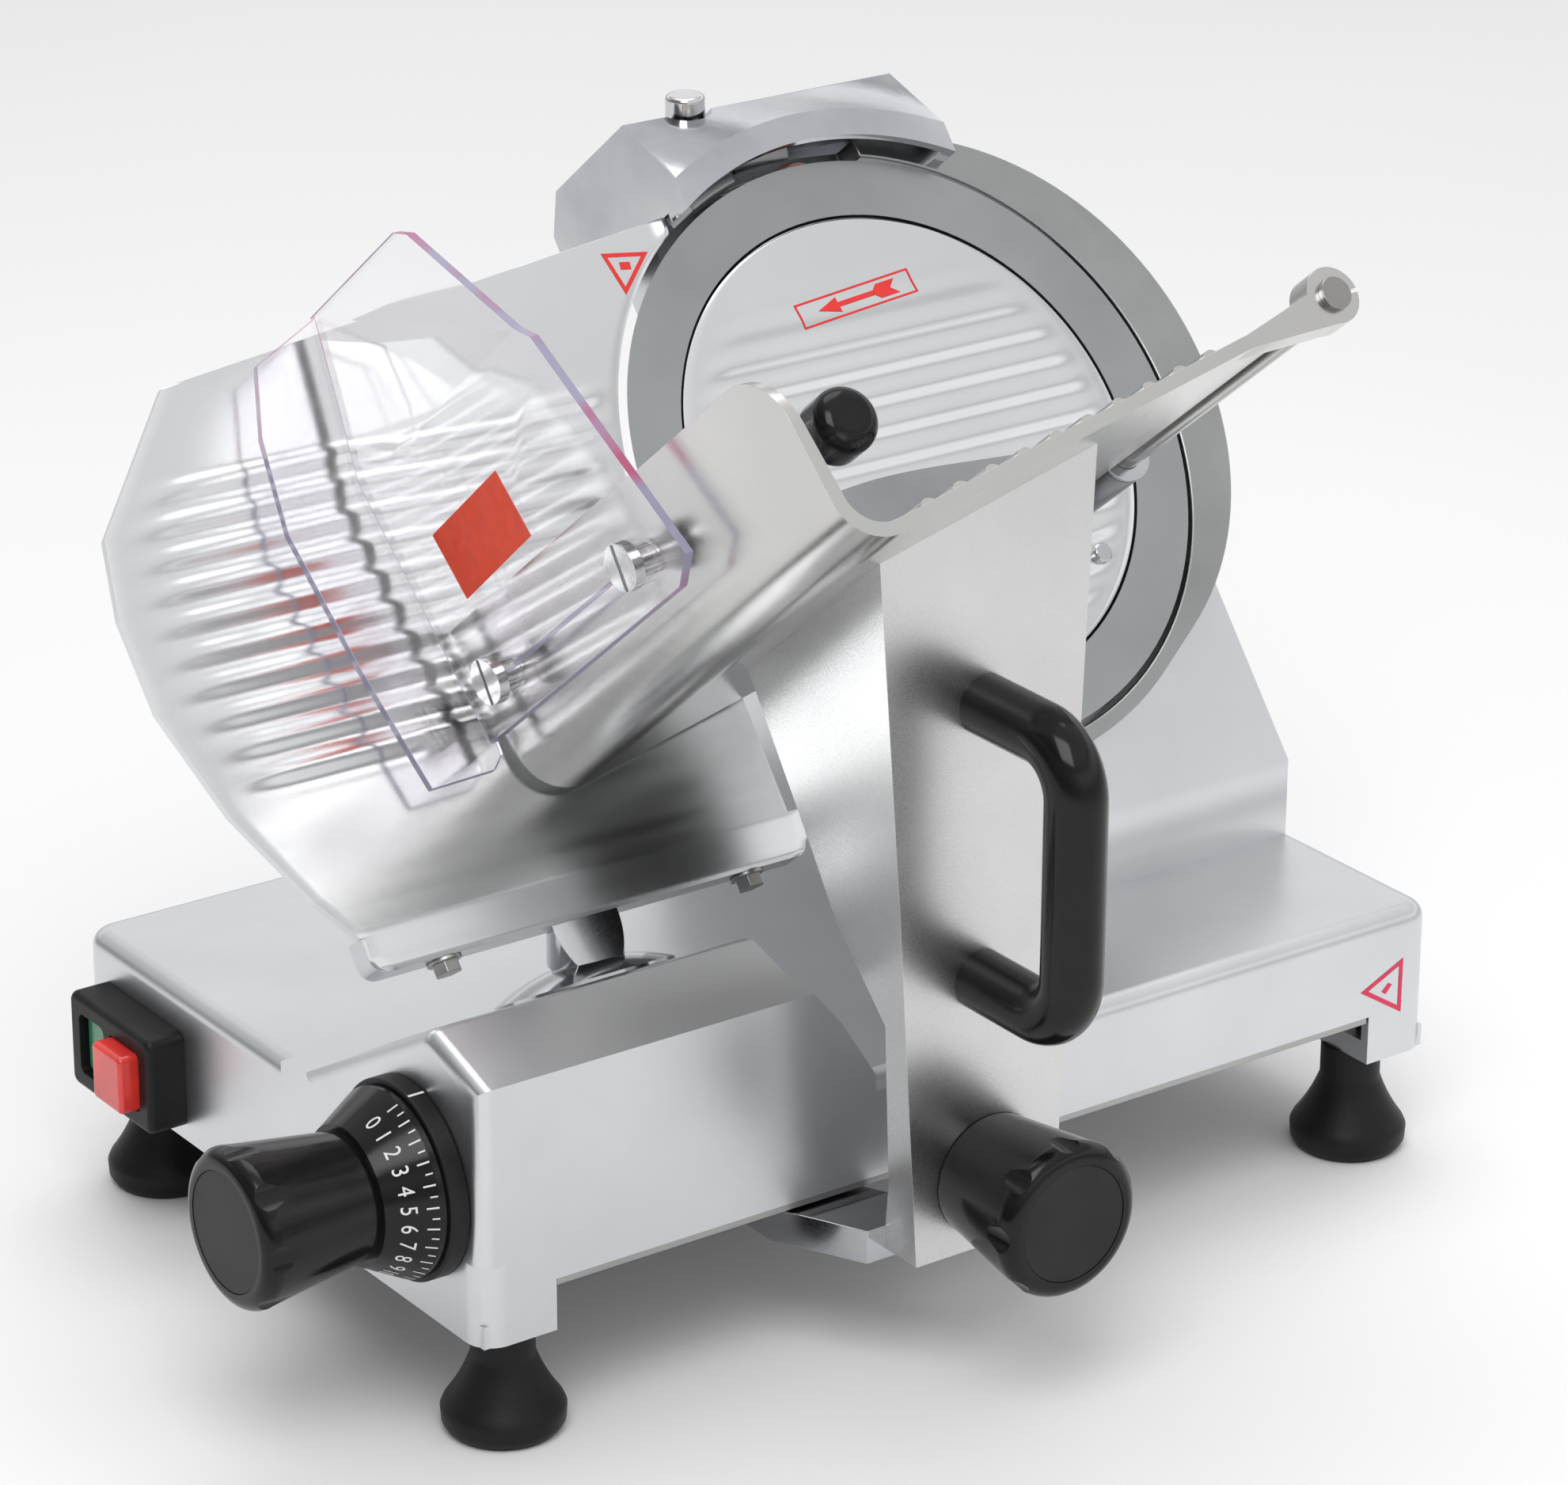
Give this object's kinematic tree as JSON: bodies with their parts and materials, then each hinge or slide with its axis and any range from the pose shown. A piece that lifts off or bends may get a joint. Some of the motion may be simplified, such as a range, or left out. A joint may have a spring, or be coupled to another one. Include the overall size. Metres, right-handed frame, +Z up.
{
  "type": "deli meat slicer",
  "caption": "Gravity-feed deli slicer: tilted round blade in a guard ring, sliding tray with meat pusher and clear guard, gauge plate with thickness dial, and a motor in a cast aluminium base.",
  "frame": {"origin": "centre of the bounding box's bottom, on the table under the feet", "axes": "+X along the carriage travel to the operator's right, +Y from the operator towards the back, +Z up"},
  "size_m": [0.5454, 0.4358, 0.4094],
  "materials": {
    "cast_aluminium": "satin, bead blasted",
    "plate_aluminium": "fine brushed",
    "polished_aluminium": "polished",
    "steel": "brushed",
    "blade_steel": "ground",
    "bright_steel": "polished",
    "cast_iron": "painted dark",
    "black_plastic": "gloss",
    "dial_plate": "matte",
    "cap_plastic": "matte",
    "bearing_plastic": "matte",
    "bronze": "machined",
    "rubber": "matte",
    "clear_plastic": "clear",
    "spacer_plastic": "clear",
    "stone": "abrasive",
    "green_plastic": "gloss",
    "red_plastic": "gloss"
  },
  "bodies": {
    "base": {"base_casting": "cast_aluminium", "motor_housing": "cast_aluminium", "bottom_plate": "steel", "foot_front_left": "rubber", "foot_front_right": "rubber", "foot_back_left": "rubber", "foot_back_right": "rubber", "foot_studs": "bright_steel", "bearings": "bright_steel", "drive_belt": "rubber", "motor_plate": "steel", "motor_body": "cast_iron", "blade_cover": "plate_aluminium", "cover_peg": "polished_aluminium", "cover_tie_rod": "bright_steel", "cover_knob": "black_plastic", "guard_ring": "steel", "sharpener_cover": "cast_aluminium", "sharpener_bracket": "steel", "dial_ring": "dial_plate", "slide_guide_bar": "steel", "switch_housing": "black_plastic", "cord_gland": "black_plastic", "guide_rod": "bright_steel", "rod_brackets": "steel", "guide_rail": "steel"},
    "carriage": {"slider_block": "steel", "slider_bushes": "bronze", "rail_shoe": "bearing_plastic", "carriage_arm": "cast_aluminium", "tray": "plate_aluminium", "clear_guard": "clear_plastic", "guard_screws": "bright_steel", "guard_spacers": "spacer_plastic", "handle": "black_plastic", "pusher_rod": "bright_steel"},
    "pusher_slider": {"pusher_bush": "bearing_plastic"},
    "pusher": {"pusher": "polished_aluminium", "pusher_knob": "black_plastic"},
    "blade": {"blade": "blade_steel", "blade_shaft": "bright_steel", "blade_pulley": "cast_iron", "blade_screws": "bright_steel"},
    "motor_rotor": {"motor_pulley": "cast_iron"},
    "stone": {"sharpening_stone": "stone", "stone_spindle": "bright_steel"},
    "plunger": {"sharpener_button": "bright_steel"},
    "dial": {"dial_knob": "black_plastic", "dial_cap": "cap_plastic", "index_shaft": "bright_steel", "index_cam": "cast_iron"},
    "gauge": {"gauge_plate": "plate_aluminium", "gauge_support": "polished_aluminium", "gauge_bolts": "bright_steel", "gauge_post": "polished_aluminium", "slide_block": "steel"},
    "lock": {"lock_knob": "black_plastic", "lock_cap": "cap_plastic"},
    "start_button": {"start_button": "green_plastic"},
    "stop_button": {"stop_button": "red_plastic"}
  },
  "joints": [
    {"name": "carriage_slide", "type": "slide", "parent": "base", "child": "carriage", "axis": [1, 0, 0], "range_m": [-0.075, 0.165]},
    {"name": "pusher_slide", "type": "slide", "parent": "carriage", "child": "pusher_slider", "axis": [0, -0.776, 0.6307], "range_m": [-0.04, 0.125]},
    {"name": "pusher_swing", "type": "hinge", "parent": "pusher_slider", "child": "pusher", "pos_m": [0.13355, -0.03558, 0.28939], "axis": [0, 0.776, -0.6307], "range_deg": [0, 95]},
    {"name": "blade_spin", "type": "hinge", "parent": "base", "child": "blade", "pos_m": [0.12075, 0.0616, 0.2742], "axis": [0, -0.776, 0.6307], "continuous": true},
    {"name": "motor_spin", "type": "hinge", "parent": "base", "child": "motor_rotor", "pos_m": [0.12075, 0.04194, 0.15488], "axis": [0, -0.776, 0.6307], "continuous": true},
    {"name": "stone_spin", "type": "hinge", "parent": "base", "child": "stone", "pos_m": [0.12075, 0.13974, 0.36211], "axis": [0, 0.9655, -0.2605], "continuous": true},
    {"name": "plunger_press", "type": "slide", "parent": "base", "child": "plunger", "axis": [0, 0, -1], "range_m": [0, 0.006], "stiffness_N_per_m": 200, "springref_m": -0.006},
    {"name": "dial_turn", "type": "hinge", "parent": "base", "child": "dial", "pos_m": [-0.19425, -0.0634, 0.0985], "axis": [-1, 0, 0], "range_deg": [0, 301]},
    {"name": "gauge_slide", "type": "slide", "parent": "base", "child": "gauge", "axis": [0, 0.866, -0.5], "range_m": [0, 0.014]},
    {"name": "lock_turn", "type": "hinge", "parent": "carriage", "child": "lock", "pos_m": [-0.00195, -0.1534, 0.0806], "axis": [0, -1, 0], "range_deg": [0, 180]},
    {"name": "start_press", "type": "slide", "parent": "base", "child": "start_button", "axis": [1, 0, 0], "range_m": [0, 0.003], "stiffness_N_per_m": 200, "springref_m": -0.002},
    {"name": "stop_press", "type": "slide", "parent": "base", "child": "stop_button", "axis": [1, 0, 0], "range_m": [0, 0.004], "stiffness_N_per_m": 200, "springref_m": -0.002}
  ],
  "couplings": [
    {"joint": "motor_spin", "follows": "blade_spin", "ratio": 3},
    {"joint": "dial_turn", "follows": "gauge_slide", "rad_per_m": 374}
  ]
}
